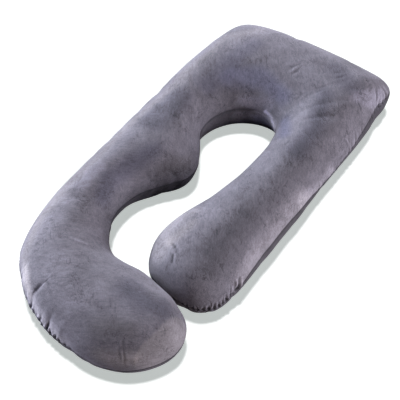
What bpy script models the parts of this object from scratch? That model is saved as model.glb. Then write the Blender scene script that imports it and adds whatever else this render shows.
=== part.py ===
"""Body pillow: two panels of one outline, seamed all round and filled, lying on its back.

Metres, +Z up, +Y toward the square head end, +X toward the straight arm. The surface that the
pillow lies on is z = 0. The pillow is drawn as cross-sections, from the end of the straight arm,
up that arm, across the head, down the other arm and round the hooked foot to its tip.
"""

import math

import bmesh
import bpy

# Driving dimensions.
SEAM_HEIGHT = 0.095          # the seam runs all round at about half the pillow's thickness
TOP_LEAN = math.radians(10)  # how far the top panel leans off the vertical where it leaves the seam
ARM_HALF_WIDTH = 0.120       # sections wider than this get a flatter crown and fuller sides
SIDE_FULLNESS = 0.45         # how strongly a wide section fills out toward its sides
UNDER_RADIUS = 0.085         # how far in from the seam the underside meets the surface
UNDER_FULLNESS = 1.16        # the underside hangs this much deeper than the crown stands high
SLIM_UNDER = 0.8             # a slim section meets the surface this part of its half width in
SEAM_TUCK = 0.003            # how far the thread draws the seam in
SEAM_LIP = 0.006             # how far above and below the seam the cover stands full again
LOW_LIP = 0.15               # near the tips the lips stand this part of the way up the panel
TOP_STEPS = 11               # steps over the top panel, from lip to lip
UNDER_STEPS = 5              # steps from a lip down to the surface, on each side
GATHER_HALF_WIDTH = 0.0075   # a gather's trough on either side of its middle
GATHER_UNDER_REACH = 0.050   # how far below the seam a gather still draws the underside in

# One row for each section: its end on the outer seam, its end on the inner seam, the height of
# the crown between them, and the number of steps on to the next section.
SECTIONS = (
    # outer_x, outer_y, inner_x, inner_y, crown, steps
    (0.245, -0.440, 0.245, -0.440, 0.095, 7),
    (0.297, -0.426, 0.180, -0.439, 0.138, 8),
    (0.338, -0.380, 0.101, -0.412, 0.178, 7),
    (0.348, -0.300, 0.044, -0.320, 0.190, 4),
    (0.347, -0.190, 0.045, -0.215, 0.192, 6),
    (0.346, -0.030, 0.084, -0.080, 0.188, 6),
    (0.344, 0.130, 0.108, 0.060, 0.186, 6),
    (0.343, 0.290, 0.112, 0.180, 0.188, 6),
    (0.339, 0.470, 0.104, 0.256, 0.192, 5),
    (0.330, 0.625, 0.088, 0.308, 0.196, 4),
    (0.306, 0.712, 0.058, 0.331, 0.198, 4),
    (0.210, 0.728, 0.025, 0.336, 0.198, 5),
    (0.050, 0.738, -0.010, 0.328, 0.198, 5),
    (-0.110, 0.732, -0.041, 0.311, 0.198, 5),
    (-0.238, 0.714, -0.070, 0.287, 0.198, 4),
    (-0.300, 0.668, -0.094, 0.255, 0.198, 4),
    (-0.322, 0.560, -0.113, 0.210, 0.196, 5),
    (-0.339, 0.400, -0.112, 0.152, 0.192, 5),
    (-0.342, 0.230, -0.074, 0.093, 0.192, 5),
    (-0.340, 0.080, -0.038, 0.031, 0.194, 4),
    (-0.338, -0.040, -0.028, -0.030, 0.194, 4),
    (-0.335, -0.160, -0.067, -0.086, 0.190, 5),
    (-0.330, -0.280, -0.126, -0.178, 0.184, 5),
    (-0.322, -0.380, -0.135, -0.270, 0.184, 5),
    (-0.308, -0.480, -0.110, -0.339, 0.188, 6),
    (-0.270, -0.588, -0.066, -0.402, 0.194, 14),
    (-0.196, -0.670, -0.016, -0.432, 0.198, 15),
    (-0.090, -0.730, 0.037, -0.437, 0.200, 15),
    (0.040, -0.760, 0.098, -0.433, 0.200, 5),
    (0.160, -0.756, 0.168, -0.444, 0.196, 5),
    (0.252, -0.718, 0.235, -0.462, 0.184, 3),
    (0.309, -0.648, 0.302, -0.510, 0.150, 3),
    (0.325, -0.580, 0.325, -0.580, 0.095, 0),
)

# One row for each gather, where the seam's thread draws the cover in: its place along the seam,
# counted in sections from the straight arm's tip, the seam that it starts from, how far it runs
# in over the top panel, and how deep it is at the seam.
GATHERS = (
    # section, seam, reach, depth
    (1.00, "outer", 0.020, 0.003),
    (1.50, "outer", 0.035, 0.004),
    (1.75, "outer", 0.045, 0.005),
    (2.00, "outer", 0.055, 0.005),
    (2.30, "outer", 0.045, 0.006),
    (2.70, "outer", 0.035, 0.010),
    (1.30, "inner", 0.030, 0.003),
    (1.65, "inner", 0.035, 0.003),
    (8.80, "outer", 0.060, 0.008),
    (9.15, "outer", 0.045, 0.005),
    (21.20, "inner", 0.035, 0.003),
    (21.45, "inner", 0.040, 0.004),
    (23.80, "inner", 0.035, 0.004),
    (25.30, "outer", 0.025, 0.004),
    (25.75, "outer", 0.032, 0.004),
    (25.95, "outer", 0.025, 0.004),
    (26.50, "outer", 0.025, 0.003),
    (26.80, "outer", 0.048, 0.006),
    (27.05, "outer", 0.032, 0.006),
    (27.25, "outer", 0.042, 0.006),
    (27.55, "outer", 0.042, 0.009),
    (27.75, "outer", 0.030, 0.006),
    (28.00, "outer", 0.036, 0.006),
    (28.22, "outer", 0.030, 0.005),
)


def spline(before, start, end, after, part):
    """A point on the Catmull-Rom curve from start to end, for part from 0 to 1."""
    square = part * part
    cube = square * part
    return tuple(
        0.5 * (2.0 * b + (c - a) * part + (2.0 * a - 5.0 * b + 4.0 * c - d) * square
               + (3.0 * b - a - 3.0 * c + d) * cube)
        for a, b, c, d in zip(before, start, end, after)
    )


def section_at(place):
    """The section at a place counted in rows of SECTIONS, between them too."""
    last = len(SECTIONS) - 1
    index = min(int(place), last - 1)
    around = (max(index - 1, 0), index, index + 1, min(index + 2, last))
    return spline(*(SECTIONS[row][:5] for row in around), place - index)


def stations():
    """The sections with those between them, from one tip to the other."""
    found = []
    for index, row in enumerate(SECTIONS):
        steps = row[5]
        for step in range(steps):
            found.append(section_at(index + step / steps))
    found.append(section_at(len(SECTIONS) - 1))
    return found


def gather_lines():
    """Each gather as its start on the seam, its direction over the panel, its reach and depth."""
    lines = []
    for place, seam, reach, depth in GATHERS:
        outer_x, outer_y, inner_x, inner_y = section_at(place)[:4]
        width = math.hypot(inner_x - outer_x, inner_y - outer_y)
        toward_x = (inner_x - outer_x) / width
        toward_y = (inner_y - outer_y) / width
        if seam == "outer":
            lines.append((outer_x, outer_y, toward_x, toward_y, reach, depth))
        else:
            lines.append((inner_x, inner_y, -toward_x, -toward_y, reach, depth))
    return lines


def drawn_in(point, lines):
    """The point after every gather near it has pulled the cover in."""
    x, y, z = point
    height = z - SEAM_HEIGHT
    below = max(0.0, 1.0 + min(0.0, height) / GATHER_UNDER_REACH)
    for start_x, start_y, toward_x, toward_y, reach, depth in lines:
        along = (point[0] - start_x) * toward_x + (point[1] - start_y) * toward_y
        aside = (point[1] - start_y) * toward_x - (point[0] - start_x) * toward_y
        fade = max(0.0, 1.0 - abs(along) / reach)
        pull = depth * below * fade * math.exp(-((aside / GATHER_HALF_WIDTH) ** 2))
        x += toward_x * pull
        y += toward_y * pull
        if height > 0.0:
            z -= pull
    return (x, y, z)


def top_profile(half_width, rise):
    """The top panel from the outer seam to the inner: (part of the way across, height)."""
    squareness = min(1.0, (ARM_HALF_WIDTH / half_width) ** SIDE_FULLNESS)
    low = math.sin(TOP_LEAN)
    lip = math.asin(low + (1.0 - low) * min(SEAM_LIP / rise, LOW_LIP))
    steps = [lip + (math.pi - 2.0 * lip) * step / TOP_STEPS for step in range(TOP_STEPS + 1)]
    profile = []
    for angle in [TOP_LEAN] + steps + [math.pi - TOP_LEAN]:
        reach = math.cos(angle) / math.cos(TOP_LEAN)
        reach = math.copysign(abs(reach) ** squareness, reach)
        lift = (math.sin(angle) - low) / (1.0 - low)
        profile.append((0.5 - 0.5 * reach, rise * lift))
    return profile


def under_profile(half_width, rise):
    """The underside from the inner seam to the outer one, flat where it rests."""
    radius = min(UNDER_RADIUS, SLIM_UNDER * half_width)
    depth = min(SEAM_HEIGHT, UNDER_FULLNESS * rise)
    lip = math.asin(min(SEAM_LIP / depth, LOW_LIP))
    inner_side = []
    outer_side = []
    for step in range(UNDER_STEPS + 1):
        angle = lip + (0.5 * math.pi - lip) * step / UNDER_STEPS
        inset = 0.5 * radius * (1.0 - math.cos(angle)) / half_width
        drop = depth * math.sin(angle)
        inner_side.append((1.0 - inset, -drop))
        outer_side.append((inset, -drop))
    return inner_side + outer_side[::-1]


def section_ring(station):
    """The points round one section: over the top panel to the inner seam, and back beneath."""
    outer_x, outer_y, inner_x, inner_y, crown = station
    half_width = 0.5 * math.hypot(inner_x - outer_x, inner_y - outer_y)
    rise = crown - SEAM_HEIGHT
    ring = []
    for across, height in top_profile(half_width, rise) + under_profile(half_width, rise):
        x = outer_x + (inner_x - outer_x) * across
        y = outer_y + (inner_y - outer_y) * across
        ring.append((x, y, SEAM_HEIGHT + height))
    return ring


def tuck_in(mesh, seam):
    """Draw the seam's own points in from the cover round them."""
    mesh.normal_update()
    pulls = [(vertex, vertex.normal * SEAM_TUCK) for vertex in seam]
    for vertex, pull in pulls:
        vertex.co -= pull


def centre_on_box(mesh):
    """Slide the pillow along the surface until its bounding box is centred on the origin."""
    for axis in (0, 1):
        reaches = [vertex.co[axis] for vertex in mesh.verts]
        middle = 0.5 * (min(reaches) + max(reaches))
        for vertex in mesh.verts:
            vertex.co[axis] -= middle


def pillow_mesh():
    """One closed skin over all the sections, drawn together to a point at both tips."""
    mesh = bmesh.new()
    rows = stations()
    lines = gather_lines()
    rings = []
    for station in rows[1:-1]:
        ring = [drawn_in(point, lines) for point in section_ring(station)]
        rings.append([mesh.verts.new(point) for point in ring])
    for ring, following in zip(rings, rings[1:]):
        for index in range(len(ring)):
            beside = (index + 1) % len(ring)
            mesh.faces.new((ring[index], ring[beside], following[beside], following[index]))
    tips = []
    for station, ring in ((rows[0], rings[0]), (rows[-1], rings[-1])):
        tip = mesh.verts.new((station[0], station[1], SEAM_HEIGHT))
        tips.append(tip)
        for index in range(len(ring)):
            mesh.faces.new((tip, ring[index], ring[(index + 1) % len(ring)]))
    bmesh.ops.recalc_face_normals(mesh, faces=mesh.faces)
    inner_seam = TOP_STEPS + 2
    tuck_in(mesh, tips + [ring[0] for ring in rings] + [ring[inner_seam] for ring in rings])
    centre_on_box(mesh)
    return mesh


def plush():
    """The short grey-violet pile of the cover."""
    material = bpy.data.materials.new("plush")
    material.use_nodes = True
    shader = material.node_tree.nodes["Principled BSDF"]
    shader.inputs["Base Color"].default_value = (0.145, 0.135, 0.175, 1.0)
    shader.inputs["Roughness"].default_value = 0.9
    shader.inputs["Metallic"].default_value = 0.0
    return material


def build():
    for leftover in list(bpy.data.objects):
        bpy.data.objects.remove(leftover, do_unlink=True)
    mesh = pillow_mesh()
    data = bpy.data.meshes.new("pillow")
    mesh.to_mesh(data)
    mesh.free()
    data.materials.append(plush())
    data.shade_smooth()
    pillow = bpy.data.objects.new("pillow", data)
    bpy.context.scene.collection.objects.link(pillow)


build()
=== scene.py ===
# %% [markdown]
# # A body pillow in crushed velvet
#
# The pillow is one long bag of short-pile velvet. A top panel and a bottom panel of the same
# outline are sewn together all round and stuffed until they are firm. It has a broad square
# head, one straight arm, and one arm whose foot hooks round to meet the straight one.
#
# This lesson dresses a imported frame. The frame gives the true size and the main form, and the
# cells below add what makes it look like cloth: folds that a simulation finds, tucks along the
# seam, small creases, a pile that has been stroked this way and that, and light and shade that are
# painted into its colour.

# %% Load the frame
import math

import bpy
import numpy as np
from mathutils import Matrix, Vector, noise
from mathutils.bvhtree import BVHTree


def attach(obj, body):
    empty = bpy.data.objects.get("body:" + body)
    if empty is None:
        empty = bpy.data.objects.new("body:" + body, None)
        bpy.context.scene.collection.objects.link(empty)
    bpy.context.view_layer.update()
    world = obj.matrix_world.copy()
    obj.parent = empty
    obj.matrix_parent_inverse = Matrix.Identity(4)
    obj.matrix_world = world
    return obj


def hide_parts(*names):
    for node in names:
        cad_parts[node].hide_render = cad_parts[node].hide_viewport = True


NOISE_SEED = 2          # fixed, because the noise would start from the clock without it

noise.seed_set(NOISE_SEED)
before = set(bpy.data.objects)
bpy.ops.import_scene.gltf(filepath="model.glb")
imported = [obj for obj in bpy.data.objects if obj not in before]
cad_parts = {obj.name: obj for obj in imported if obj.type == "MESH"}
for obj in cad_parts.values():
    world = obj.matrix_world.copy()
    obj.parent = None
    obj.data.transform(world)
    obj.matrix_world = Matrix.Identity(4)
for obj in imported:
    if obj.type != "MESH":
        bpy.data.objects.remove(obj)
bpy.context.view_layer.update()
scene = bpy.context.scene
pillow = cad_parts["pillow"]

# %% [markdown]
# ## The view
#
# The pillow is seen from above its foot, turned so that it runs from the lower left to the
# upper right. A long lens from a few metres away keeps the two arms nearly the same width.

# %% Camera
VIEW_TURN = math.radians(35.2)      # how far round from the foot the camera stands
VIEW_HEIGHT = math.radians(49.2)    # how steeply it looks down
VIEW_DISTANCE = 3.567               # metres from the point that it looks at
VIEW_TARGET = Vector((0.008, -0.013, 0.0))
VIEW_LENS = 96.75                   # millimetres, before a sensor of full size
SENSOR_WIDTH = 36.0

toward_camera = Vector((
    math.sin(VIEW_TURN) * math.cos(VIEW_HEIGHT),
    -math.cos(VIEW_TURN) * math.cos(VIEW_HEIGHT),
    math.sin(VIEW_HEIGHT),
))
bpy.ops.object.camera_add(location=VIEW_TARGET + toward_camera * VIEW_DISTANCE)
camera = bpy.context.object
camera.name = "camera"
camera.rotation_euler = toward_camera.to_track_quat("Z", "Y").to_euler()
camera.data.lens = VIEW_LENS
camera.data.sensor_width = SENSOR_WIDTH
camera.data.dof.use_dof = False
scene.camera = camera
print("camera stands", round(VIEW_DISTANCE, 2), "m away with a", camera.data.lens, "mm lens")

# %% [markdown]
# ## The floor
#
# The pillow lies on a plain white floor with a flat, pale shadow. A little emission keeps the
# shadow an even grey, and the light above it lifts everything else to white. The floor is part
# of the stage, so it throws no light back on the cloth: the underside stays dark, as it does
# where a pillow rests on a bed.

# %% Floor
FLOOR_SIZE = 30.0
FLOOR_DROP = 0.0006     # metres below the cloth, so that the two are never in one plane
FLOOR_GLOW = (0.495, 0.527, 0.515, 1.0)


def new_material(name):
    """An empty node material: its node tree and its Principled shader."""
    material = bpy.data.materials.new(name)
    material.use_nodes = True
    return material, material.node_tree, material.node_tree.nodes["Principled BSDF"]


bpy.ops.object.select_all(action="DESELECT")
bpy.ops.mesh.primitive_plane_add(size=FLOOR_SIZE, location=(0.0, 0.0, -FLOOR_DROP))
floor = bpy.context.object
floor.name = "floor"
floor_material, _, floor_shader = new_material("white_floor")
floor_shader.inputs["Base Color"].default_value = (0.80, 0.80, 0.80, 1.0)
floor_shader.inputs["Roughness"].default_value = 1.0
floor_shader.inputs["Specular IOR Level"].default_value = 0.0
floor_shader.inputs["Emission Color"].default_value = FLOOR_GLOW
floor_shader.inputs["Emission Strength"].default_value = 1.0
floor.data.materials.append(floor_material)
floor.visible_diffuse = False
floor.visible_glossy = False
print("floor:", tuple(round(side, 1) for side in floor.dimensions[:2]), "m")

# %% [markdown]
# ## The light
#
# Velvet shows its depth when light skims it. Wide, soft lights stand low round the pillow: the
# strong one behind it on the left, a cooler one on the left, and weaker ones on the right. One
# more light hangs almost straight above and lights the floor alone, which gives the short
# shadow. A sun with a wide disc does the work of a softbox that is far away, and light linking
# keeps the two groups apart.

# %% Lights
LIGHTS = {
    # name: (degrees round from straight behind, degrees up, strength, colour)
    "back_left": (315.0, 15.0, 7.6, (1.00, 1.00, 0.99)),
    "left": (280.0, 7.0, 4.2, (1.00, 0.98, 1.07)),
    "right": (95.0, 12.0, 4.1, (1.04, 0.99, 1.00)),
    "front_right": (135.0, 15.0, 1.3, (1.22, 1.00, 0.90)),
}
FLOOR_LIGHT = (0.0, 88.5, 2.35, (1.00, 1.00, 1.00))
CLOTH_DISC = 40.0       # degrees: a wide disc lights softly
FLOOR_DISC = 7.0        # a narrow one gives the shadow its edge
LIGHT_DISTANCE = 3.0    # metres, which changes nothing for a sun

lit_cloth = bpy.data.collections.new("lit_cloth")
lit_floor = bpy.data.collections.new("lit_floor")
lit_floor.objects.link(floor)


def add_sun(name, turn, rise, strength, colour, disc, lit):
    """A distant light, its place counted round the camera's view."""
    turn, rise = math.radians(turn), math.radians(rise)
    level = math.cos(rise)
    toward = Vector((math.sin(turn) * level, math.cos(turn) * level, math.sin(rise)))
    toward = Matrix.Rotation(VIEW_TURN, 3, "Z") @ toward
    bpy.ops.object.light_add(type="SUN", location=toward * LIGHT_DISTANCE)
    sun = bpy.context.object
    sun.name = name
    sun.rotation_euler = toward.to_track_quat("Z", "Y").to_euler()
    sun.data.energy = strength
    sun.data.color = colour
    sun.data.angle = math.radians(disc)
    sun.light_linking.receiver_collection = lit
    return sun


for light_name, (turn, rise, strength, colour) in LIGHTS.items():
    add_sun(light_name, turn, rise, strength, colour, CLOTH_DISC, lit_cloth)
add_sun("above", *FLOOR_LIGHT, FLOOR_DISC, lit_floor)

# %% [markdown]
# ## The room
#
# The room is white to the camera and gives no light of its own, so all the light on the cloth
# comes from the lights above, and the rest of its shading is painted into the velvet's colour.
# Plain "Standard" colour keeps the white floor white.

# %% Room
room = bpy.data.worlds.new("room")
scene.world = room
room.use_nodes = True
room.node_tree.nodes["Background"].inputs["Color"].default_value = (1.0, 1.0, 1.0, 1.0)
room.cycles_visibility.diffuse = False
room.cycles_visibility.glossy = False
scene.view_settings.view_transform = "Standard"
print("view transform:", scene.view_settings.view_transform)

# %% [markdown]
# ## The cover, from the frame
#
# The frame's pillow is loose triangles. A copy of it becomes the cover: its doubled points are
# merged and its triangles paired back into quads, which a subdivision rounds smoothly and a
# cloth simulation bends evenly. The rows of quads run across the pillow, and they lie closest
# where the seam is gathered, so no remesh is needed.

# %% Copy the pillow
SAME_PLACE = 0.00001    # metres within which two points are one


def work_on(piece):
    """Makes piece the only selected and the active object."""
    if bpy.context.object and bpy.context.object.mode != "OBJECT":
        bpy.ops.object.mode_set(mode="OBJECT")
    bpy.ops.object.select_all(action="DESELECT")
    piece.select_set(True)
    bpy.context.view_layer.objects.active = piece


cover = bpy.data.objects.new("cover", pillow.data.copy())
scene.collection.objects.link(cover)
lit_cloth.objects.link(cover)
work_on(cover)
bpy.ops.object.mode_set(mode="EDIT")
bpy.ops.mesh.select_all(action="SELECT")
bpy.ops.mesh.remove_doubles(threshold=SAME_PLACE)
bpy.ops.mesh.tris_convert_to_quads(face_threshold=math.pi, shape_threshold=math.pi)
bpy.ops.object.mode_set(mode="OBJECT")
bpy.ops.object.shade_smooth()
print("cover:", len(cover.data.vertices), "points,", len(cover.data.polygons), "faces")

# %% Helpers for points
def read_points(piece):
    """The mesh's points as rows of x, y, z."""
    flat = np.zeros(len(piece.data.vertices) * 3, np.float32)
    piece.data.vertices.foreach_get("co", flat)
    return flat.reshape(-1, 3).astype(float)


def read_normals(piece):
    """The mesh's point normals as rows of x, y, z."""
    return np.array([vertex.normal for vertex in piece.data.vertices])


def write_points(piece, points):
    """Puts the mesh's points at the given rows."""
    piece.data.vertices.foreach_set("co", points.astype(np.float32).ravel())
    piece.data.update()


def read_values(piece, name):
    """One number for each point of the mesh."""
    values = np.zeros(len(piece.data.vertices), np.float32)
    piece.data.attributes[name].data.foreach_get("value", values)
    return values.astype(float)


def write_values(piece, name, values):
    """Stores one number for each point of the mesh under a name."""
    stored = piece.data.attributes.get(name) or piece.data.attributes.new(name, "FLOAT", "POINT")
    stored.data.foreach_set("value", values.astype(np.float32))


def subdivide(piece):
    """Rounds a mesh once, each face into four."""
    work_on(piece)
    finer = piece.modifiers.new("finer", "SUBSURF")
    finer.levels = finer.render_levels = 1
    bpy.ops.object.modifier_apply(modifier=finer.name)


def edge_ends(piece):
    """The two points of each edge of the mesh."""
    ends = np.zeros(len(piece.data.edges) * 2, np.int32)
    piece.data.edges.foreach_get("vertices", ends)
    return ends.reshape(-1, 2)


def spread(field, ends, weights, steps):
    """Each point's values moved toward its neighbours' by each step's share of the way."""
    size = len(field)
    total = (np.bincount(ends[:, 0], weights=weights, minlength=size)
             + np.bincount(ends[:, 1], weights=weights, minlength=size))
    for step in steps:
        beside = np.stack([
            np.bincount(ends[:, 0], weights=weights * field[ends[:, 1], axis], minlength=size)
            + np.bincount(ends[:, 1], weights=weights * field[ends[:, 0], axis], minlength=size)
            for axis in range(field.shape[1])
        ], axis=1)
        field = field + step * (beside / total[:, None] - field)
    return field


print("point helpers are ready")

# %% [markdown]
# ## Lay the seam where it runs
#
# The frame's seam is level. On the real pillow it wanders: it sags round the foot and the end of
# the straight arm, waves along the straight side, and rides high round the bend at the head,
# where the bag is pulled tight. So the rows of the mesh are slid over the surface, up or down,
# until the seam's row lies at the height wanted. The frame's own groove is filled first.

# %% Ease the frame's gathers
EASING = (0.50, -0.53) * 40     # steps in and out by turns, which smooth without shrinking
EASED = (
    # x, y, reach: where the frame's broad gathers give way to fine tucks
    (-0.230, -0.630, 0.120), (-0.130, -0.700, 0.120), (0.000, -0.740, 0.120),
    (0.100, -0.740, 0.090), (0.320, -0.350, 0.090), (0.240, -0.420, 0.080),
    (0.330, 0.620, 0.090),
)


def eased(piece, points):
    """The points with the frame's gathers smoothed away, mostly along the pillow."""
    ends = edge_ends(piece)
    lengths = np.linalg.norm(points[ends[:, 0]] - points[ends[:, 1]], axis=1)
    smooth = spread(points, ends, 1.0 / lengths ** 3, EASING)
    share = np.zeros(len(points))
    for x, y, reach in EASED:
        near = np.hypot(points[:, 0] - x, points[:, 1] - y) / reach
        share = np.maximum(share, np.clip(2.0 - 2.0 * near, 0.0, 1.0))
    return points + (smooth - points) * share[:, None]


print("gathers are eased at", len(EASED), "places")

# %% Slide the seam
LEVEL_SEAM = 0.095      # the height of the frame's seam
SEAM_ROW = 0.0015       # how far from that height its row of points lies at most
SIDE_SLOPE = 0.6        # a side's normal points up or down less than this
FRAME_TUCK = 0.003      # how deep the frame's groove is
SEAM_HEIGHTS = (
    # x, y, height of the seam there
    (0.340, -0.250, 0.101), (0.340, -0.100, 0.108), (0.340, 0.020, 0.107), (0.340, 0.120, 0.100),
    (0.340, 0.200, 0.078), (0.339, 0.300, 0.074), (0.337, 0.380, 0.080), (0.334, 0.460, 0.102),
    (0.330, 0.550, 0.118), (0.324, 0.635, 0.112), (0.316, 0.700, 0.098), (0.200, 0.730, 0.095),
    (0.337, -0.311, 0.086), (0.323, -0.380, 0.064), (0.292, -0.413, 0.062), (0.247, -0.427, 0.068),
    (0.170, -0.440, 0.080), (0.100, -0.410, 0.088), (-0.236, -0.613, 0.092),
    (-0.154, -0.680, 0.078), (-0.060, -0.722, 0.070), (0.050, -0.743, 0.066),
    (0.106, -0.746, 0.062), (0.172, -0.737, 0.058), (0.245, -0.706, 0.061), (0.285, -0.665, 0.063),
    (0.307, -0.632, 0.065), (0.318, -0.588, 0.068), (-0.300, -0.480, 0.075),
    (-0.325, -0.350, 0.088), (-0.110, -0.120, 0.080), (-0.095, -0.100, 0.082),
    (-0.040, -0.027, 0.086), (-0.130, 0.200, 0.100), (-0.117, 0.256, 0.116), (-0.075, 0.315, 0.122),
    (-0.015, 0.350, 0.122), (0.036, 0.353, 0.112), (0.065, 0.340, 0.098), (0.090, 0.300, 0.094),
)
SEAM_BLEND = 0.045      # metres over which one height passes into the next
LEVEL_WEIGHT = 0.03     # how firmly the seam is level away from the places above


def seam_height(points):
    """The height at which the seam runs past each point."""
    total = np.full(len(points), LEVEL_WEIGHT)
    height = np.full(len(points), LEVEL_WEIGHT * LEVEL_SEAM)
    for x, y, level in SEAM_HEIGHTS:
        apart = (points[:, 0] - x) ** 2 + (points[:, 1] - y) ** 2
        near = np.exp(-apart / (2.0 * SEAM_BLEND ** 2))
        total += near
        height += near * level
    return height / total


points = read_points(cover)
normals = read_normals(cover)
on_seam = (np.abs(points[:, 2] - LEVEL_SEAM) < SEAM_ROW) & (np.abs(normals[:, 2]) < SIDE_SLOPE)
points[on_seam] += FRAME_TUCK * normals[on_seam]
points = eased(cover, points)
write_points(cover, points)
write_values(cover, "over_seam", np.where(on_seam, 0.0, points[:, 2] - LEVEL_SEAM))

skin = BVHTree.FromPolygons([Vector(point) for point in points],
                            [tuple(face.vertices) for face in cover.data.polygons])
above = points[:, 2] > LEVEL_SEAM
reach = np.where(above, points[:, 2].max() - LEVEL_SEAM, LEVEL_SEAM)
share = 1.0 - np.abs(points[:, 2] - LEVEL_SEAM) / reach
slide = (seam_height(points) - LEVEL_SEAM) * np.clip(share, 0.0, 1.0)
slid = np.array([skin.find_nearest(Vector((x, y, z + rise)))[0]
                 for (x, y, z), rise in zip(points, slide)])
write_points(cover, slid)
print("seam points:", int(on_seam.sum()), "the seam slides from", round(1000 * float(slide.min())),
      "to", round(1000 * float(slide.max())), "mm")

# %% [markdown]
# ## The folds, by cloth simulation
#
# A stuffed cover is pulled tight by its filling, and its seam is a little shorter than the
# cloth beside it, so the cloth puckers there. The simulation does the same: air pressure
# stands in for the filling, gravity is off, the part that lies on the floor is pinned, and the
# seam's edges shrink where the real seam is gathered.

# %% Where the seam is gathered
GATHERED = (
    # x, y, reach, how much
    (-0.120, -0.690, 0.170, 0.7),
    (0.300, -0.400, 0.090, 0.5),
    (0.325, 0.620, 0.080, 0.4),
    (-0.060, -0.060, 0.110, 0.4),
    (-0.100, -0.330, 0.100, 0.3),
)
EVERYWHERE = 0.05       # how much the seam is gathered elsewhere
STITCHED = 0.0008       # metres from the seam's row within which a point is on it
RESTING = 0.004         # height below which the cloth lies on the floor

subdivide(cover)
points = read_points(cover)
seam_group = cover.vertex_groups.new(name="seam")
near_seam = np.abs(read_values(cover, "over_seam")) < STITCHED
for index in np.flatnonzero(near_seam):
    x, y, _ = points[index]
    pull = max(much * math.exp(-((x - gx) ** 2 + (y - gy) ** 2) / reach ** 2)
               for gx, gy, reach, much in GATHERED)
    seam_group.add([int(index)], max(EVERYWHERE, pull), "REPLACE")
resting = points[:, 2] < RESTING
resting_group = cover.vertex_groups.new(name="resting")
resting_group.add([int(index) for index in np.flatnonzero(resting)], 1.0, "REPLACE")
print("finer cover:", len(points), "points,", int(near_seam.sum()), "on the seam,",
      int(resting.sum()), "resting")

# %% Run the cloth
FRAMES = 20
FILLING_PRESSURE = 3.5
SEAM_SHRINK = 0.10      # how much shorter the seam gets where it is gathered most
CLOTH_GROWTH = 0.004    # how much larger all the cloth gets


def inflate(piece):
    """Runs the cloth simulation on the piece and applies it."""
    work_on(piece)
    cloth = piece.modifiers.new("cloth", "CLOTH")
    settings = cloth.settings
    settings.quality = 5
    settings.mass = 0.3
    settings.tension_stiffness = settings.compression_stiffness = 15.0
    settings.bending_stiffness = 0.5
    settings.use_pressure = True
    settings.uniform_pressure_force = FILLING_PRESSURE
    settings.vertex_group_shrink = "seam"
    settings.shrink_min = -CLOTH_GROWTH
    settings.shrink_max = SEAM_SHRINK
    settings.vertex_group_mass = "resting"
    settings.effector_weights.gravity = 0.0
    cloth.collision_settings.use_collision = False
    cloth.collision_settings.use_self_collision = False
    scene.frame_start, scene.frame_end = 1, FRAMES
    for step in range(1, FRAMES + 1):
        scene.frame_set(step)
    work_on(piece)
    bpy.ops.object.modifier_apply(modifier=cloth.name)


before = read_points(cover)
inflate(cover)
after = read_points(cover)
print("the cloth moved up to", round(1000 * float(np.abs(after - before).max()), 1), "mm")

# %% [markdown]
# ## Keep the folds, leave the swelling
#
# The pressure also swells the whole pillow past its true size. The move of each point is split
# in two: what it shares with its neighbours is the swelling and is left out, and what is its
# own is a fold and is kept, up to a few millimetres.

# %% Folds alone
FOLD_CAP = 0.004        # metres
FOLD_PASSES = 50        # how far round a point its neighbours count
NO_LENGTH = 1e-9        # keeps a fold of nothing from being divided by nothing

move = after - before
ends = edge_ends(cover)
fold = move - spread(move, ends, np.ones(len(ends)), (0.5,) * FOLD_PASSES)
fold_length = np.linalg.norm(fold, axis=1, keepdims=True)
fold *= np.minimum(1.0, FOLD_CAP / np.maximum(fold_length, NO_LENGTH))
folded = before + fold
folded[:, 2] = np.maximum(folded[:, 2], 0.0)
write_points(cover, folded)
print("folds up to", round(1000 * float(np.linalg.norm(fold, axis=1).max()), 1), "mm")

# %% [markdown]
# ## Sew the seam
#
# The thread pulls a narrow groove into the cloth all the way round. Where it was drawn up short,
# the cloth beside it stands in little tucks: each is a short valley with a ridge on either side,
# which starts on the seam and runs up the top panel. A few creases cross the panel besides. All
# of them are finer than the mesh, so its faces are cut in four there before the last
# subdivision.

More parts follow.
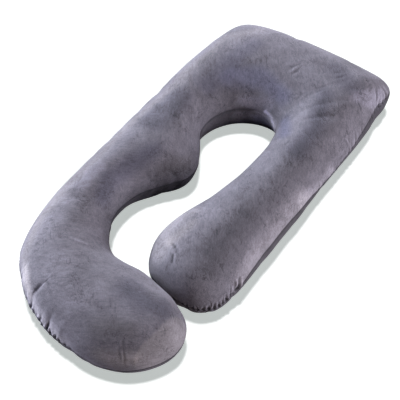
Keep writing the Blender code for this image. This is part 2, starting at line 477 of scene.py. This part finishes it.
# %% Where the tucks and creases lie
TUCKS = (
    # x, y, lean in degrees, length, half width, depth
    (-0.240, -0.606, 10, 0.020, 0.0041, 0.0022), (-0.224, -0.628, -10, 0.020, 0.0039, 0.0017),
    (-0.208, -0.646, 15, 0.023, 0.0044, 0.0026), (-0.190, -0.660, -5, 0.020, 0.0041, 0.0020),
    (-0.166, -0.674, 15, 0.028, 0.0048, 0.0032), (-0.144, -0.686, -10, 0.023, 0.0046, 0.0027),
    (-0.120, -0.699, 20, 0.037, 0.0055, 0.0046), (-0.098, -0.709, 0, 0.028, 0.0051, 0.0035),
    (-0.074, -0.719, 25, 0.041, 0.0057, 0.0050), (-0.054, -0.727, -15, 0.031, 0.0053, 0.0040),
    (-0.034, -0.733, 20, 0.044, 0.0060, 0.0053), (-0.014, -0.737, -5, 0.030, 0.0051, 0.0037),
    (0.004, -0.740, 20, 0.036, 0.0055, 0.0043), (0.024, -0.743, 0, 0.028, 0.0051, 0.0033),
    (0.044, -0.744, 15, 0.027, 0.0048, 0.0027), (0.066, -0.746, -5, 0.020, 0.0046, 0.0019),
    (0.096, -0.748, 10, 0.020, 0.0044, 0.0013), (0.343, -0.297, 25, 0.046, 0.0068, 0.0080),
    (0.342, -0.314, 10, 0.040, 0.0044, 0.0040), (0.339, -0.328, 15, 0.046, 0.0046, 0.0045),
    (0.335, -0.342, 0, 0.036, 0.0042, 0.0036), (0.331, -0.356, 10, 0.040, 0.0042, 0.0039),
    (0.325, -0.370, -5, 0.032, 0.0040, 0.0033), (0.317, -0.383, 10, 0.036, 0.0042, 0.0036),
    (0.307, -0.395, 0, 0.028, 0.0038, 0.0030), (0.295, -0.405, 5, 0.030, 0.0040, 0.0032),
    (0.281, -0.413, -5, 0.024, 0.0038, 0.0026), (0.266, -0.419, 5, 0.024, 0.0038, 0.0023),
    (0.250, -0.425, 0, 0.020, 0.0036, 0.0019), (0.334, 0.185, 10, 0.050, 0.0050, 0.0022),
    (0.334, 0.298, 15, 0.056, 0.0050, 0.0024), (0.333, 0.331, 0, 0.050, 0.0046, 0.0024),
    (0.336, 0.386, 10, 0.066, 0.0050, 0.0032), (0.336, 0.402, 0, 0.056, 0.0046, 0.0029),
    (0.336, 0.428, 15, 0.060, 0.0050, 0.0032), (0.335, 0.474, 5, 0.040, 0.0046, 0.0026),
    (0.330, 0.556, 20, 0.036, 0.0046, 0.0021), (0.328, 0.586, 10, 0.044, 0.0050, 0.0025),
    (0.326, 0.614, 25, 0.050, 0.0054, 0.0029), (0.322, 0.642, 15, 0.046, 0.0052, 0.0028),
    (0.318, 0.668, 5, 0.036, 0.0048, 0.0023),
)
CREASES = (
    # corners of the line, half width, depth (less than nothing for a ridge)
    (((0.121, -0.319, 0.176), (0.127, -0.325, 0.177), (0.140, -0.331, 0.180),
      (0.148, -0.338, 0.181), (0.153, -0.349, 0.180), (0.155, -0.360, 0.178),
      (0.159, -0.371, 0.176), (0.164, -0.380, 0.174), (0.168, -0.388, 0.172)), 0.0038, 0.0042),
    (((0.101, -0.221, 0.172), (0.142, -0.264, 0.187), (0.179, -0.310, 0.188),
      (0.209, -0.362, 0.183)), 0.0036, 0.0014),
    (((0.212, -0.672, 0.168), (0.218, -0.687, 0.154), (0.227, -0.696, 0.139),
      (0.236, -0.704, 0.115), (0.241, -0.708, 0.094)), 0.0034, 0.0016),
    (((0.206, -0.688, 0.160), (0.214, -0.698, 0.147), (0.222, -0.706, 0.130),
      (0.229, -0.710, 0.112)), 0.0032, 0.0014),
    (((-0.136, -0.492, 0.195), (-0.095, -0.486, 0.190), (-0.059, -0.475, 0.180)), 0.0044, -0.0012),
    (((-0.098, -0.640, 0.181), (-0.076, -0.657, 0.178), (-0.059, -0.674, 0.171)), 0.0040, 0.0014),
    (((-0.120, -0.610, 0.188), (-0.098, -0.628, 0.185), (-0.090, -0.645, 0.182)), 0.0040, 0.0012),
    (((0.305, 0.401, 0.158), (0.324, 0.387, 0.134), (0.336, 0.392, 0.099)), 0.0036, -0.0021),
    (((-0.014, 0.532, 0.197), (0.016, 0.528, 0.197), (0.064, 0.491, 0.195)), 0.0034, 0.0021),
    (((-0.010, 0.556, 0.197), (0.020, 0.552, 0.197), (0.052, 0.522, 0.197)), 0.0034, 0.0015),
    (((0.051, 0.591, 0.196), (0.080, 0.600, 0.196), (0.108, 0.595, 0.196)), 0.0036, 0.0017),
    (((0.150, 0.600, 0.196), (0.174, 0.584, 0.197), (0.190, 0.560, 0.197)), 0.0036, 0.0015),
    (((0.095, 0.452, 0.189), (0.109, 0.433, 0.185), (0.100, 0.410, 0.178)), 0.0040, 0.0010),
    (((0.070, 0.420, 0.178), (0.081, 0.402, 0.170), (0.098, 0.392, 0.168)), 0.0040, 0.0009),
    (((0.177, 0.250, 0.179), (0.190, 0.228, 0.181), (0.186, 0.205, 0.180)), 0.0036, 0.0014),
    (((0.288, 0.640, 0.165), (0.304, 0.614, 0.151), (0.318, 0.600, 0.125)), 0.0044, 0.0018),
    (((0.296, 0.660, 0.160), (0.312, 0.668, 0.130), (0.318, 0.677, 0.100)), 0.0044, 0.0020),
    (((0.250, 0.640, 0.183), (0.275, 0.615, 0.175), (0.290, 0.580, 0.170)), 0.0044, 0.0017),
    (((-0.249, 0.067, 0.187), (-0.221, 0.080, 0.192)), 0.0036, -0.0017),
    (((-0.118, -0.128, 0.150), (-0.110, -0.121, 0.128), (-0.098, -0.116, 0.108)), 0.0050, 0.0013),
    (((-0.086, -0.060, 0.142), (-0.070, -0.055, 0.125), (-0.062, -0.040, 0.110)), 0.0050, 0.0011),
)


def line_place(points, corners):
    """How far each point is from a line, and how far along the line it lies, from 0 to 1."""
    nearest = np.full(len(points), np.inf)
    place = np.zeros(len(points))
    for count, (start, end) in enumerate(zip(corners, corners[1:])):
        start, end = np.array(start), np.array(end)
        along = end - start
        part = np.clip((points - start) @ along / (along @ along), 0.0, 1.0)
        distance = np.linalg.norm(points - start - part[:, None] * along, axis=1)
        place = np.where(distance < nearest, (count + part) / (len(corners) - 1), place)
        nearest = np.minimum(nearest, distance)
    return nearest, place


def on_skin(piece, corners):
    """The corners moved to the nearest places on the mesh."""
    return [piece.closest_point_on_mesh(Vector(corner))[1] for corner in corners]


def swayed(points, much, scale):
    """The points moved a little by a noise, so that lines measured from them wander."""
    return points + much * np.array([noise.noise_vector(scale * Vector(point)) for point in points])


print("tucks:", len(TUCKS), "creases:", len(CREASES))

# %% Finer faces there
FINER_REACH = 0.007     # metres to each side of a crease

points = read_points(cover)
close = np.zeros(len(points), bool)
for corners, _, _ in CREASES:
    close |= line_place(points, on_skin(cover, corners))[0] < FINER_REACH
for x, y, _, length, _, _ in TUCKS:
    start = np.array([x, y, seam_height(np.array([[x, y]]))[0]])
    close |= np.linalg.norm(points - start, axis=1) < length
chosen = [bool(close[list(face.vertices)].all()) for face in cover.data.polygons]
work_on(cover)
bpy.ops.object.mode_set(mode="EDIT")
bpy.ops.mesh.select_mode(type="FACE")
bpy.ops.mesh.select_all(action="DESELECT")
bpy.ops.object.mode_set(mode="OBJECT")
cover.data.polygons.foreach_set("select", chosen)
bpy.ops.object.mode_set(mode="EDIT")
bpy.ops.mesh.subdivide(number_cuts=1, smoothness=0.0)
bpy.ops.object.mode_set(mode="OBJECT")
print("faces cut in four:", sum(chosen), "of", len(chosen))

# %% [markdown]
# ## Fill out the sides
#
# After the last subdivision the pile is given its thickness, and the sides are let out a few
# millimetres where the filling presses on them, so that the outline is as full as the real one.

# %% The last subdivision
PILE = 0.001            # metres by which the pile stands out everywhere
FULLER = (
    # x, y, reach, metres by which the sides are fuller there
    (0.315, -0.560, 0.060, 0.007), (0.296, -0.496, 0.040, 0.003), (0.340, -0.260, 0.090, 0.006),
    (0.342, -0.110, 0.090, 0.007), (0.342, 0.050, 0.080, 0.006), (-0.140, -0.685, 0.070, 0.004),
    (-0.030, -0.735, 0.080, 0.004), (0.110, -0.745, 0.080, 0.003), (0.140, 0.120, 0.070, 0.003),
    (0.135, -0.010, 0.060, 0.003), (0.085, -0.385, 0.050, 0.004), (-0.140, -0.250, 0.070, 0.003),
)

subdivide(cover)
points = read_points(cover)
fuller = np.full(len(points), PILE)
for x, y, reach, much in FULLER:
    fuller += much * np.exp(-((points[:, 0] - x) ** 2 + (points[:, 1] - y) ** 2) / reach ** 2)
points[:, :2] += fuller[:, None] * read_normals(cover)[:, :2]
points[:, 2] = np.maximum(points[:, 2], 0.0)
write_points(cover, points)
print("final cover:", len(cover.data.vertices), "points,", len(cover.data.polygons), "faces")

# %% Carve the groove, tucks and creases
GROOVE_DEPTH = 0.0025
GROOVE_HALF_WIDTH = 0.0028
SEAM_LINE = 0.0002      # metres from the seam's row within which a point is on it
RIDGE = 0.60            # a ridge's height beside its valley's depth
FOLD_SWAY_SCALE = 45.0  # waves in a metre of the noise that bends the tucks and creases
TUCK_SWAY = 0.004       # metres by which it bends a tuck
CREASE_SWAY = 0.002     # and a crease
TUCK_ROOT = 0.010       # metres above the seam over which a tuck deepens
TUCK_START = 0.4        # the share of its depth that it has on the seam
TUCK_END = 0.6          # the share of its width that it has at its end
BELOW_SEAM = 2.0        # how much sooner it ends below the seam
SEAM_SAMPLE = 12        # points of the seam that give its direction beside a tuck
TUCK_MARGIN = 0.02      # metres past a tuck's end that still feel its ridges
CREASE_TAPER = 0.25     # the share of a crease over which each end fades


def fold_across(aside, half_width):
    """A valley with a ridge on either side, from 1 at the bottom to less than nothing."""
    valley = np.exp(-(aside / half_width) ** 2)
    ridges = np.exp(-((np.abs(aside) - 2.0 * half_width) / half_width) ** 2)
    return valley - RIDGE * ridges


def tuck_depths(points, over, tucks):
    """How deep each point lies in the tucks."""
    seam = points[np.abs(over) < SEAM_LINE]
    points = swayed(points, TUCK_SWAY, FOLD_SWAY_SCALE)
    depth = np.zeros(len(points))
    for x, y, lean, length, half_width, deepest in tucks:
        nearest = np.argsort((seam[:, 0] - x) ** 2 + (seam[:, 1] - y) ** 2)[:SEAM_SAMPLE]
        start = seam[nearest[0]]
        along_seam = np.linalg.svd(seam[nearest, :2] - seam[nearest, :2].mean(axis=0))[2][0]
        along_seam = along_seam * np.sign(along_seam[0] + 0.1 * along_seam[1])
        inward = np.array([-along_seam[1], along_seam[0]])
        here = np.flatnonzero(np.linalg.norm(points - start, axis=1) < length + TUCK_MARGIN)
        if (points[here, :2].mean(axis=0) - start[:2]) @ inward < 0.0:
            inward = -inward
        from_start = points[here] - start
        up = np.hypot(from_start[:, :2] @ inward, from_start[:, 2])
        aside = from_start[:, :2] @ along_seam - math.tan(math.radians(lean)) * up
        up = np.where(over[here] < 0.0, BELOW_SEAM * up, up)
        fade = np.clip(1.0 - up / length, 0.0, 1.0) * np.clip(TUCK_START + up / TUCK_ROOT, 0.0, 1.0)
        width = half_width * (TUCK_END + (1.0 - TUCK_END) * fade)
        depth[here] += deepest * fade * fold_across(aside, width)
    return depth


def crease_depths(points, creases):
    """How deep each point lies in the creases."""
    points = swayed(points, CREASE_SWAY, FOLD_SWAY_SCALE)
    depth = np.zeros(len(points))
    for corners, half_width, deepest in creases:
        distance, place = line_place(points, on_skin(cover, corners))
        taper = np.clip(np.minimum(place, 1.0 - place) / CREASE_TAPER, 0.0, 1.0)
        depth += deepest * taper * fold_across(distance, half_width)
    return depth


GROOVE_SHADE = 0.5      # how much shade is painted into the groove
FULL_SHADE_TUCK = 0.006    # a tuck as deep as this, in metres, gets the full painted shade
FULL_SHADE_DEPTH = 0.003   # and so does a crease, while a ridge so high gets the full painted highlight
RIDGE_HIGHLIGHT = 0.8       # how much lighter a ridge is painted at most

over = read_values(cover, "over_seam")
groove = np.exp(-(over / GROOVE_HALF_WIDTH) ** 2)
tucks = tuck_depths(points, over, TUCKS)
creases = crease_depths(points, CREASES)
points -= read_normals(cover) * (GROOVE_DEPTH * groove + tucks + creases)[:, None]
points[:, 2] = np.maximum(points[:, 2], 0.0)
write_points(cover, points)
# painted shade in the groove and in the valleys of the tucks and creases, and a painted highlight
# on their ridges
crease_shade = (GROOVE_SHADE * groove + creases / FULL_SHADE_DEPTH
           + np.where(tucks > 0.0, tucks / FULL_SHADE_TUCK, tucks / FULL_SHADE_DEPTH))
write_values(cover, "crease_shade", np.clip(crease_shade, -RIDGE_HIGHLIGHT, 1.0))
print("tucks up to", round(1000 * float(tucks.max()), 1), "mm deep, creases up to",
      round(1000 * float(creases.max()), 1), "mm")

# %% [markdown]
# ## Pile marks and painted light
#
# A hand that strokes velvet leaves broad marks: where the pile leans to the light they are pale
# and warm, where it leans away they are dark and blue. Other strokes paint light and shade into
# the colour: a pale, warm rim along the left side and the foot's lower edge, light on the right
# flank and on the head's wall above the hollow, a dark band along the straight arm's crest, a
# darker back edge on the head where the sheen is strong, and sheen at the end of the straight arm.
# Each stroke below runs over the cloth from place to place and has a soft edge. A slow noise
# bends the strokes, so that none is straight.

# %% Strokes of pile and painted light
PILE_AND_LIGHT_STROKES = (
    # corners of the stroke, half width, soft edge, paler, warmer; some mark the pile, some paint
    # light and shade
    (((-0.20, 0.50, 0.197), (-0.19, 0.58, 0.194), (-0.17, 0.64, 0.185)), 0.035, 0.050, 0.30, 0.1),
    (((-0.18, 0.29, 0.187), (-0.17, 0.42, 0.195), (-0.16, 0.54, 0.197)), 0.035, 0.050, -0.12, -0.5),
    (((-0.13, 0.38, 0.185), (-0.05, 0.43, 0.187), (0.04, 0.41, 0.170)), 0.034, 0.050, 0.03, -0.9),
    # painted light on the head's wall above the hollow
    (((-0.055, 0.354, 0.148), (0.010, 0.361, 0.132)), 0.020, 0.030, 0.90, -0.2),
    (((0.10, 0.33, 0.145), (0.15, 0.26, 0.165)), 0.022, 0.040, -0.20, -1.0),
    (((0.14, 0.60, 0.196), (0.23, 0.57, 0.194)), 0.030, 0.050, -0.30, -0.3),
    # painted light on the lit right flank, from the head down to the arm's end
    (((0.27, 0.55, 0.180), (0.31, 0.62, 0.140), (0.32, 0.64, 0.110)), 0.030, 0.040, 0.62, -0.2),
    (((0.334, 0.26, 0.100), (0.338, 0.18, 0.096), (0.338, 0.08, 0.106)), 0.026, 0.030, 0.85, 0.1),
    (((0.33, 0.08, 0.120), (0.34, -0.18, 0.117), (0.34, -0.27, 0.110)), 0.038, 0.060, 0.60, 0.2),
    # painted shade along the straight arm's crest
    (((0.19, 0.47, 0.195), (0.22, 0.34, 0.190), (0.24, 0.21, 0.185)), 0.028, 0.060, -0.48, -0.4),
    (((0.24, -0.07, 0.185), (0.25, -0.27, 0.184), (0.28, -0.33, 0.170)), 0.032, 0.060, -0.28, 0.0),
    # painted sheen on the end of the straight arm
    (((0.09, -0.19, 0.159), (0.06, -0.28, 0.145), (0.09, -0.35, 0.149)), 0.040, 0.045, 0.45, 0.3),
    (((-0.22, 0.18, 0.188), (-0.225, 0.05, 0.192)), 0.046, 0.052, -0.30, -0.3),
    (((-0.15, -0.06, 0.187), (-0.19, -0.22, 0.171), (-0.17, -0.29, 0.164)),
     0.032, 0.045, -0.22, -0.5),
    # a painted highlight along the rim of the left side
    (((-0.19, 0.66, 0.175), (-0.26, 0.52, 0.188), (-0.275, 0.34, 0.183), (-0.28, 0.10, 0.174),
      (-0.29, -0.10, 0.166), (-0.285, -0.24, 0.166), (-0.27, -0.45, 0.162), (-0.22, -0.60, 0.150),
      (-0.14, -0.68, 0.128)), 0.022, 0.044, 0.24, 0.4),
    (((-0.25, -0.21, 0.181), (-0.25, -0.32, 0.181)), 0.024, 0.032, 0.42, -0.1),
    (((-0.09, -0.07, 0.139), (-0.04, 0.00, 0.131)), 0.028, 0.040, -0.28, 0.2),
    (((-0.21, -0.49, 0.188), (-0.24, -0.39, 0.183)), 0.035, 0.045, 0.20, 0.0),
    # a painted highlight along the foot's lower edge
    (((-0.185, -0.63, 0.125), (-0.13, -0.68, 0.112), (-0.05, -0.722, 0.100), (0.04, -0.742, 0.092)),
     0.026, 0.034, 0.90, 0.2),
    (((-0.09, -0.58, 0.197), (-0.01, -0.67, 0.180), (0.05, -0.61, 0.199)), 0.038, 0.050, 0.28, 0.0),
    (((0.12, -0.54, 0.194), (0.20, -0.55, 0.190), (0.24, -0.53, 0.177)), 0.036, 0.060, -0.40, -0.4),
    (((0.13, -0.68, 0.178), (0.20, -0.65, 0.178)), 0.030, 0.050, -0.25, 0.2),
    (((0.30, -0.66, 0.110), (0.31, -0.56, 0.130)), 0.055, 0.008, 0.36, 0.4),
    # painted shade on the head's back edge, where the sheen is strong
    (((-0.06, 0.715, 0.150), (0.02, 0.710, 0.155), (0.12, 0.695, 0.160), (0.21, 0.675, 0.168)),
     0.028, 0.040, -0.35, 0.0),
    # more painted sheen on the end of the straight arm
    (((0.110, -0.300, 0.175), (0.138, -0.240, 0.186)), 0.022, 0.036, 0.36, 0.4),
    (((0.17, -0.73, 0.125), (0.24, -0.70, 0.117)), 0.026, 0.035, 0.45, 0.5),
)
STROKE_SWAY = 0.020     # metres by which the noise bends a stroke
STROKE_SWAY_SCALE = 9.0
LIT_WALL = (
    # painted light on the bottom panel round the bend, a painted highlight on its lip: corners,
    # half width, soft edge, paler
    (((-0.13, 0.20, 0.075), (-0.11, 0.26, 0.080), (-0.07, 0.31, 0.080)), 0.030, 0.040, 0.20),
    (((-0.05, 0.33, 0.080), (-0.01, 0.35, 0.080), (0.05, 0.35, 0.078)), 0.030, 0.040, 0.90),
    (((0.01, 0.355, 0.116), (0.04, 0.352, 0.108), (0.06, 0.344, 0.090), (0.07, 0.342, 0.060)),
     0.006, 0.008, 2.00),
    (((-0.01, 0.352, 0.085), (0.06, 0.350, 0.080)), 0.026, 0.030, 2.60),
)


def inside_strokes(points, strokes):
    """For each stroke, how far each point is inside it, from 0 to 1, and the stroke's numbers."""
    for corners, half_width, edge, *numbers in strokes:
        distance = line_place(points, on_skin(cover, corners))[0]
        inside = np.clip((half_width - distance) / edge + 0.5, 0.0, 1.0)
        yield inside * inside * (3.0 - 2.0 * inside), numbers


points = swayed(read_points(cover), STROKE_SWAY, STROKE_SWAY_SCALE)
top_panel = read_values(cover, "over_seam") > 0.0
# pile marks and painted light and shade: paler on the top panel only, warmer everywhere
paler = sum(inside * top_panel * pale for inside, (pale, _) in inside_strokes(points, PILE_AND_LIGHT_STROKES))
warmer = sum(inside * warm for inside, (_, warm) in inside_strokes(points, PILE_AND_LIGHT_STROKES))
# painted light on the bottom panel round the bend
lit_wall = sum(inside * much for inside, (much,) in inside_strokes(points, LIT_WALL))
write_values(cover, "paler", paler)
write_values(cover, "warmer", warmer)
write_values(cover, "lit_wall", lit_wall)
print("strokes:", len(PILE_AND_LIGHT_STROKES), "from", round(float(paler.min()), 2),
      "to", round(float(paler.max()), 2))

# %% [markdown]
# ## The velvet
#
# Short pile lies in strokes, and each stroke catches the light its own way, so plain velvet is
# never one colour. Broad clouds of lighter and darker pile come from a low noise, strokes from
# noises that are stretched along one direction, and the fine grain of the pile from the
# smallest one. Thin crinkles wander over the cloth as small valleys, with shade painted into them.
# The same noises push the surface in and out a little. The bottom panel is painted darker, which
# stands for the shade under the pillow.

# %% Node helpers
def add_node(tree, kind, **inputs):
    """A node with some of its inputs set, each named with _ for a space."""
    node = tree.nodes.new(kind)
    for name, value in inputs.items():
        node.inputs[name.replace("_", " ")].default_value = value
    return node


def maths(tree, operation, first, second=0.0):
    """Two numbers or outputs joined by one sum."""
    node = tree.nodes.new("ShaderNodeMath")
    node.operation = operation
    for socket, value in zip(node.inputs, (first, second)):
        if isinstance(value, (int, float)):
            socket.default_value = value
        else:
            tree.links.new(value, socket)
    return node.outputs["Value"]


def times(tree, first, second):
    """The product of two numbers or outputs."""
    return maths(tree, "MULTIPLY", first, second)


def plus(tree, first, second):
    """The sum of two numbers or outputs."""
    return maths(tree, "ADD", first, second)


def mapped(tree, value, start, end, at_start, at_end):
    """An output moved from one range to another and kept inside it."""
    node = add_node(tree, "ShaderNodeMapRange", From_Min=start, From_Max=end,
                    To_Min=at_start, To_Max=at_end)
    tree.links.new(value, node.inputs["Value"])
    return node.outputs["Result"]


def attribute(tree, name):
    """A number that is kept on the mesh's points."""
    node = tree.nodes.new("ShaderNodeAttribute")
    node.attribute_name = name
    return node.outputs["Fac"]


def noise_field(tree, place, turn, stretch, scale, detail, roughness, distortion):
    """A noise about zero, stretched along one direction of the plan."""
    turned = add_node(tree, "ShaderNodeMapping", Scale=(stretch, 1.0, 1.0),
                      Rotation=(0.0, 0.0, math.radians(turn)))
    turned.vector_type = "TEXTURE"
    texture = add_node(tree, "ShaderNodeTexNoise", Scale=scale, Detail=detail,
                       Roughness=roughness, Distortion=distortion)
    tree.links.new(place, turned.inputs["Vector"])
    tree.links.new(turned.outputs["Vector"], texture.inputs["Vector"])
    return maths(tree, "SUBTRACT", texture.outputs["Fac"], 0.5)


print("node helpers are ready")

# %% The noises of the pile
NOISES = {
    # name: turn in degrees, stretch, scale, detail, roughness, distortion
    "clouds": (0.0, 1.0, 9.0, 5.0, 0.60, 0.8),
    "upward": (125.0, 3.0, 110.0, 4.0, 0.65, 1.0),
    "sideways": (35.0, 3.0, 110.0, 4.0, 0.65, 1.0),
    "grain": (125.0, 2.0, 330.0, 2.0, 0.70, 0.3),
    "wandering": (125.0, 2.2, 26.0, 3.0, 0.60, 1.5),
    "some": (0.0, 1.0, 15.0, 3.0, 0.60, 0.0),
}
FOOT_SLANT = 0.9            # the foot's pile lies sideways, up to a line that slants across
FOOT_PILE = (-0.30, -0.14)  # the width, in metres, over which it turns there
CRINKLE_WIDTH = 0.040       # a crinkle is a thin line where a noise passes through zero
CRINKLE_PLACES = 0.08       # another noise leaves the crinkles out in some places

velvet, tree, shader = new_material("velvet")
place = tree.nodes.new("ShaderNodeTexCoord").outputs["Object"]
pile = {name: noise_field(tree, place, *values) for name, values in NOISES.items()}

corner = tree.nodes.new("ShaderNodeSeparateXYZ")
tree.links.new(place, corner.inputs["Vector"])
across = plus(tree, corner.outputs["X"], times(tree, corner.outputs["Y"], FOOT_SLANT))
nap = tree.nodes.new("ShaderNodeMix")
tree.links.new(mapped(tree, across, *FOOT_PILE, 1.0, 0.0), nap.inputs["Factor"])
tree.links.new(pile["upward"], nap.inputs["A"])
tree.links.new(pile["sideways"], nap.inputs["B"])
streaks = nap.outputs["Result"]

from_line = maths(tree, "ABSOLUTE", pile["wandering"])
crinkle_line = mapped(tree, from_line, 0.0, CRINKLE_WIDTH, 1.0, 0.0)
crinkles = times(tree, crinkle_line, mapped(tree, pile["some"], 0.0, CRINKLE_PLACES, 0.0, 1.0))
print("noises:", sorted(pile))

# %% [markdown]
# ## Shade and tint
#
# The noises, the strokes, the painted shade of the folds and the painted shade of the bottom
# panel are joined into one shade, which scales a tint between blue and warm. One number for the
# shade and one for the tint are enough, because the dye of real velvet is even: the lean of its
# pile changes them, and so do the light and shade that are painted in.

# %% Shade and colour
CLOUD_SHADE = 1.2           # how much each noise changes the shade
STREAK_SHADE = 1.2
GRAIN_SHADE = 0.8
CRINKLE_SHADE = -0.32
DARKEST = 0.2
PAINTED_UNDERSIDE_SHADE = -0.58        # how much darker the bottom panel is painted, for the shade under the pillow
PANEL_EDGE = (-0.0020, 0.0010)  # metres from the seam over which it darkens
LIT_SHARE = -2.0            # painted light on the wall takes the painted underside shade away
LEAST_DARKNESS = 0.1
CREASE_SHADE_STRENGTH = -0.7
BLUE_TINT = (0.124, 0.129, 0.196, 1.0)
WARM_TINT = (0.151, 0.145, 0.152, 1.0)

shade = times(tree, pile["clouds"], CLOUD_SHADE)
shade = plus(tree, shade, times(tree, streaks, STREAK_SHADE))
shade = plus(tree, shade, times(tree, pile["grain"], GRAIN_SHADE))
# painted shade in the crinkles' valleys
shade = plus(tree, shade, times(tree, crinkles, CRINKLE_SHADE))
shade = maths(tree, "MAXIMUM", plus(tree, shade, 1.0), DARKEST)
shade = times(tree, shade, plus(tree, attribute(tree, "paler"), 1.0))

# the painted light round the bend lifts the bottom panel there
wall_light = attribute(tree, "lit_wall")
darkness = plus(tree, times(tree, wall_light, LIT_SHARE), 1.0)
darkness = maths(tree, "MAXIMUM", darkness, LEAST_DARKNESS)
# painted shade on the bottom panel, below the seam
painted_underside = mapped(tree, attribute(tree, "over_seam"), *PANEL_EDGE, PAINTED_UNDERSIDE_SHADE, 0.0)
shade = times(tree, shade, plus(tree, times(tree, painted_underside, darkness), 1.0))
shade = times(tree, shade, plus(tree, wall_light, 1.0))
# the painted shade of the folds, and the painted highlight on their ridges
painted_crease_shade = times(tree, attribute(tree, "crease_shade"), CREASE_SHADE_STRENGTH)
shade = times(tree, shade, plus(tree, times(tree, painted_crease_shade, darkness), 1.0))

tint = add_node(tree, "ShaderNodeMix")
tint.data_type = "RGBA"
tint.inputs["A"].default_value = BLUE_TINT
tint.inputs["B"].default_value = WARM_TINT
warmth = mapped(tree, attribute(tree, "warmer"), -1.0, 1.0, 0.0, 1.0)
tree.links.new(warmth, tint.inputs["Factor"])
colour = add_node(tree, "ShaderNodeVectorMath")
colour.operation = "SCALE"
tree.links.new(tint.outputs["Result"], colour.inputs["Vector"])
tree.links.new(shade, colour.inputs["Scale"])
tree.links.new(colour.outputs["Vector"], shader.inputs["Base Color"])
print("colours: blue", BLUE_TINT[:3], "warm", WARM_TINT[:3])

# %% [markdown]
# ## Relief and sheen
#
# Single hairs are too fine to model. A small bump from the same noises stands for them, and
# sheen gives the pale edge that pile has where the surface turns away from the eye.

# %% Relief and sheen
STREAK_RELIEF = 0.7         # how much each noise moves the surface
GRAIN_RELIEF = 0.3
CRINKLE_RELIEF = -0.60
PILE_DEPTH = 0.004

relief = plus(tree, times(tree, streaks, STREAK_RELIEF), times(tree, pile["grain"], GRAIN_RELIEF))
relief = plus(tree, relief, times(tree, crinkles, CRINKLE_RELIEF))
bump = add_node(tree, "ShaderNodeBump", Strength=0.35, Distance=PILE_DEPTH)
tree.links.new(relief, bump.inputs["Height"])
tree.links.new(bump.outputs["Normal"], shader.inputs["Normal"])

shader.inputs["Roughness"].default_value = 0.95
shader.inputs["Specular IOR Level"].default_value = 0.15
shader.inputs["Sheen Weight"].default_value = 0.38
shader.inputs["Sheen Roughness"].default_value = 0.5
shader.inputs["Sheen Tint"].default_value = (0.46, 0.455, 0.565, 1.0)
cover.data.materials.clear()
cover.data.materials.append(velvet)
print("velvet:", len(tree.nodes), "nodes")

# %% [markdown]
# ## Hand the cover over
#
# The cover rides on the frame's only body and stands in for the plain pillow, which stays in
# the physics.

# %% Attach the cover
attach(cover, "root")
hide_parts("pillow")
